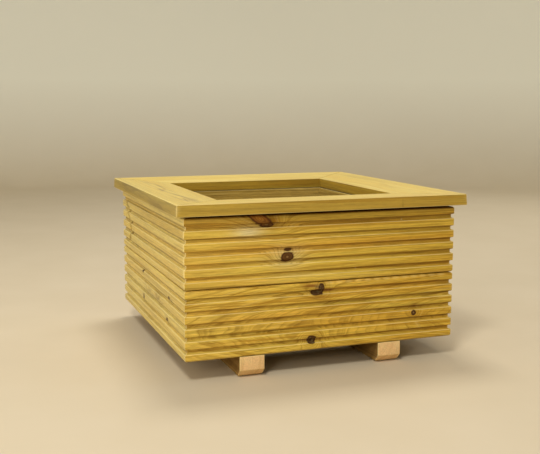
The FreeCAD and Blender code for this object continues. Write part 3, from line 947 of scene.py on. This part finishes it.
def slat_outline(low, high, notched_end):
    """The corners of a floor slat seen from above, with notches for the posts at its near or far side."""
    places = ((low.x, low.y), (high.x, low.y), (high.x, high.y), (low.x, high.y))
    corners = [Vector(place) for place in places]
    if notched_end is None:
        return corners
    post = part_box("back_right_post")[0]
    outline = []
    for corner in corners:
        if corner.y != notched_end:
            outline.append(corner)
            continue
        notch_x = math.copysign(post.x - SLAT_NOTCH_CLEARANCE, corner.x)
        notch_y = math.copysign(post.y - SLAT_NOTCH_CLEARANCE, corner.y)
        steps = [Vector((corner.x, notch_y)), Vector((notch_x, notch_y)), Vector((notch_x, corner.y))]
        outline += steps if corner.x * corner.y > 0 else steps[::-1]
    return outline


def inset_corners(corners, inset):
    """A right-angled outline drawn in by the inset."""
    drawn_in = []
    for index, corner in enumerate(corners):
        before = (corner - corners[index - 1]).normalized()
        after = (corners[(index + 1) % len(corners)] - corner).normalized()
        offset = Vector((-before.y - after.y, before.x + after.x)) * inset
        drawn_in.append(Corner(corner.x + offset.x, corner.y + offset.y, SLAT_EASE / 2))
    return drawn_in


def floor_slat(number):
    """A floor slat with eased edges, made of outlines one above another. The end slats are notched."""
    node = f"floor_slat_{number}"
    low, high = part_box(node)
    corners = slat_outline(low, high, {1: low.y, SLAT_COUNT: high.y}.get(number))
    rises = [share * SLAT_EASE for share in END_EASE_SHARES]
    levels = [(low.z + rise, end_inset(rise, SLAT_EASE)) for rise in rises]
    levels += [(high.z + low.z - height, inset) for height, inset in reversed(levels)]
    rings, wear = [], []
    for height, inset in levels:
        outline = refined(rounded(inset_corners(corners, inset)), STATION_STEP)
        rings.append([(point.across, point.up, height) for point in outline])
        wear += [SLAT_WEAR * inset / SLAT_EASE] * len(outline)
    mesh = lofted(node + "_wood", rings, wear, [0.0] * len(wear))
    material = wood(node + "_wood", SLAT, SLAT_SEED + number, pith_place(low, high, SLAT_PITH))
    place_piece(node + "_wood", mesh, Matrix.Identity(4), material, node)


def bearer(node, seed, pith):
    """A bearer swept from front to back, its lower end edges cut off and its ends paler than its sides,
    which carry painted shade.
    """
    turn = turn_of("right")
    low, high = local_box(node, turn)
    middle = (low + high) / 2
    half = (high.x - low.x) / 2
    corners = [Corner(low.y, low.z, BEARER_EASE), Corner(high.y, low.z, BEARER_EASE),
               Corner(high.y, high.z, BATTEN_EASE), Corner(low.y, high.z, BATTEN_EASE)]
    outline = refined(rounded(corners), FINE_STEP)
    rings, wear, stain = [], [], []
    for share in stations(half, BATTEN_EASE, FINE_STEP):
        along = share * half
        distance = (1 - abs(share)) * half
        inset = end_inset(distance, BATTEN_EASE)
        lift = max(0.0, BEARER_CHAMFER - distance)
        ring = []
        for point in outline:
            ripple = stray(along, point.across, point.up, seed, SAWN_RIPPLE_GRAIN, BEARER_RIPPLE)
            across, up = moved_in(point, middle, inset + abs(ripple))
            up = max(up, low.z + lift)
            ring.append((middle.x + along, across, up))
            wear.append(max(point.wear, math.sin(math.pi * min(1.0, distance / BATTEN_EASE))))
            # Painted shade on the sides, top and bottom, for the shade under the box; none on the ends and
            # chamfers.
            stain.append(BEARER_PAINTED_SHADE if distance > BATTEN_EASE and up > low.z + lift else 0.0)
        rings.append(ring)
    mesh = lofted(node + "_wood", rings, wear, stain)
    material = wood(node + "_wood", BEARER, seed, pith_place(low, high, pith))
    place_piece(node + "_wood", mesh, turn, material, node)


def islands(shell):
    """The places of the points in each separate piece of the shell."""
    unseen = set(shell.verts)
    found = []
    while unseen:
        island, waiting = [], [min(unseen, key=lambda vert: vert.index)]
        while waiting:
            vert = waiting.pop()
            if vert in unseen:
                unseen.remove(vert)
                island.append(vert.co.copy())
                waiting += [link.other_vert(vert) for link in vert.link_edges]
        found.append(island)
    return found


def screw_axis(island):
    """The head's middle and the tip of one screw. More of its points lie near the head."""
    low, high = Vector(map(min, *island)), Vector(map(max, *island))
    size = high - low
    axis = max(range(len(size)), key=lambda index: size[index])
    ends = [(low + high) / 2, (low + high) / 2]
    ends[0][axis], ends[1][axis] = low[axis], high[axis]
    near = SCREW_HEAD_RADIUS * HEAD_SEARCH_SHARE
    spread = [sum((point - end).length < near for point in island) for end in ends]
    return ends if spread[0] > spread[1] else ends[::-1]


def screw_axes(node):
    """The axis of each screw in a node."""
    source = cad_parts[node]
    shell = bmesh.new()
    shell.from_mesh(source.data)
    shell.transform(source.matrix_world)
    bmesh.ops.remove_doubles(shell, verts=shell.verts, dist=WELD_DISTANCE)
    axes = [screw_axis(island) for island in islands(shell)]
    shell.free()
    return axes


def screw_profile(length):
    """Rings of (radius, depth, thread) from the middle of the recessed head to the tip."""
    rings = []
    for ring in range(1, RECESS_RINGS + 1):
        rings.append((SCREW_HEAD_RADIUS * ring / RECESS_RINGS, 0.0, 0.0))
    rings.append((SCREW_RADIUS, SCREW_HEAD_RADIUS - SCREW_RADIUS + SCREW_RAISE, 0.0))
    thread_start = length * THREAD_START_SHARE
    rings.append((SCREW_RADIUS, thread_start, 0.0))
    count = round((length - SCREW_POINT - thread_start) / SCREW_PITCH * SCREW_TURN_RINGS)
    for ring in range(1, count + 1):
        rings.append((SCREW_RADIUS, thread_start + ring * SCREW_PITCH / SCREW_TURN_RINGS, 1.0))
    rings.append((SCREW_TIP_RADIUS, length, 0.0))
    return rings


def recess(across, up):
    """The depth of a head's cross recess."""
    arm = min(abs(across), abs(up))
    reach = max(abs(across), abs(up))
    if arm > RECESS_ARM or reach > RECESS_REACH:
        return 0.0
    return RECESS_DEPTH * (1 - reach / RECESS_REACH * RECESS_TAPER_SHARE)


def add_screw(shell, head, tip):
    """Adds one screw to the shell."""
    direction = (tip - head).normalized()
    length = (tip - head).length + SCREW_RAISE
    facing = direction.to_track_quat("Z", "Y").to_matrix().to_4x4()
    placed = Matrix.Translation(head - direction * SCREW_RAISE) @ facing
    last = [shell.verts.new(placed @ Vector((0, 0, RECESS_DEPTH)))] * SCREW_SIDES
    for radius, depth, thread in screw_profile(length):
        ring = []
        for side in range(SCREW_SIDES):
            turn = side / SCREW_SIDES
            wave = abs(2 * ((depth / SCREW_PITCH - turn) % 1) - 1)
            out = mix(radius, mix(SCREW_CORE_RADIUS, SCREW_RADIUS, wave ** 2), thread)
            across, up = out * math.cos(2 * math.pi * turn), out * math.sin(2 * math.pi * turn)
            down = recess(across, up) if depth == 0.0 else depth
            ring.append(shell.verts.new(placed @ Vector((across, up, down))))
        for side in range(SCREW_SIDES):
            beside = (side + 1) % SCREW_SIDES
            corners = [last[side], last[beside], ring[beside], ring[side]]
            shell.faces.new(list(dict.fromkeys(corners)))
        last = ring
    shell.faces.new(last)


def screws(node, material):
    shell = bmesh.new()
    for head, tip in screw_axes(node):
        add_screw(shell, head, tip)
    mesh = bpy.data.meshes.new(node + "_zinc")
    shell.to_mesh(mesh)
    shell.free()
    place_piece(node + "_zinc", finished(mesh), Matrix.Identity(4), material, node)


def photograph_camera():
    data = bpy.data.cameras.new("camera")
    data.lens = CAMERA_LENS
    data.sensor_width = SENSOR_WIDTH
    camera = scene_object("camera", data)
    yaw = Matrix.Rotation(-math.radians(CAMERA_YAW), 4, "Z")
    pitch = Matrix.Rotation(math.radians(90 - CAMERA_PITCH), 4, "X")
    roll = Matrix.Rotation(math.radians(CAMERA_ROLL), 4, "Z")
    camera.matrix_world = Matrix.Translation(CAMERA_PLACE) @ yaw @ pitch @ roll
    bpy.context.scene.camera = camera


def studio():
    """A pale round floor that curves up into a wall all round."""
    profile = [(0.0, 0.0), (FLOOR_RADIUS / 2, 0.0)]
    for step in range(FLOOR_CURVE_STEPS + 1):
        angle = math.pi / 2 * step / FLOOR_CURVE_STEPS
        profile.append((FLOOR_RADIUS + FLOOR_CURVE * math.sin(angle), FLOOR_CURVE * (1 - math.cos(angle))))
    profile.append((FLOOR_RADIUS + FLOOR_CURVE, WALL_HEIGHT))
    sweep = bmesh.new()
    points = [sweep.verts.new((radius, 0.0, height)) for radius, height in profile]
    edges = [sweep.edges.new(pair) for pair in zip(points, points[1:])]
    bmesh.ops.spin(sweep, geom=points + edges, cent=(0, 0, 0), axis=(0, 0, 1), angle=2 * math.pi,
                   steps=FLOOR_SIDES, use_merge=True)
    bmesh.ops.remove_doubles(sweep, verts=sweep.verts, dist=WELD_DISTANCE)
    bmesh.ops.recalc_face_normals(sweep, faces=sweep.faces)
    mesh = bpy.data.meshes.new("floor")
    sweep.to_mesh(mesh)
    sweep.free()
    mesh.shade_smooth()
    floor = scene_object("floor", mesh)
    mesh.materials.append(floor_paint())


def area_light(lamp):
    data = bpy.data.lights.new(lamp.name, "AREA")
    data.size = lamp.size
    data.energy = lamp.watts
    light = scene_object(lamp.name, data)
    light.location = lamp.place
    light.rotation_euler = Vector(lamp.place).to_track_quat("Z", "Y").to_euler()


def world_light():
    world = bpy.data.worlds.new("world")
    bpy.context.scene.world = world
    world.use_nodes = True
    background = world.node_tree.nodes["Background"]
    background.inputs["Color"].default_value = WORLD_WHITE
    background.inputs["Strength"].default_value = WORLD_STRENGTH


photograph_camera()
studio()
for lamp in LAMPS:
    area_light(lamp)
world_light()
bpy.context.scene.view_settings.view_transform = "Standard"

for board in WALL_BOARDS:
    wall_board(board)
for board in RIM_BOARDS:
    rim_board(board)
for index, side in enumerate(TURNS):
    batten(f"{side}_top_batten", turn_of(side), TOP_BATTEN_FALL, TOP_BATTEN_SEED + index)
    batten(f"{side}_base_batten", turn_of(side), 0.0, BASE_BATTEN_SEED + index)
for index, corner in enumerate(CORNER_NAMES):
    batten(f"{corner}_post", UPRIGHT, 0.0, POST_SEED + index)
for number in range(1, SLAT_COUNT + 1):
    floor_slat(number)
for node, seed, pith in BEARERS:
    bearer(node, seed, pith)
screw_zinc = zinc()
for group in SCREW_GROUPS:
    screws(f"{group}_screws", screw_zinc)
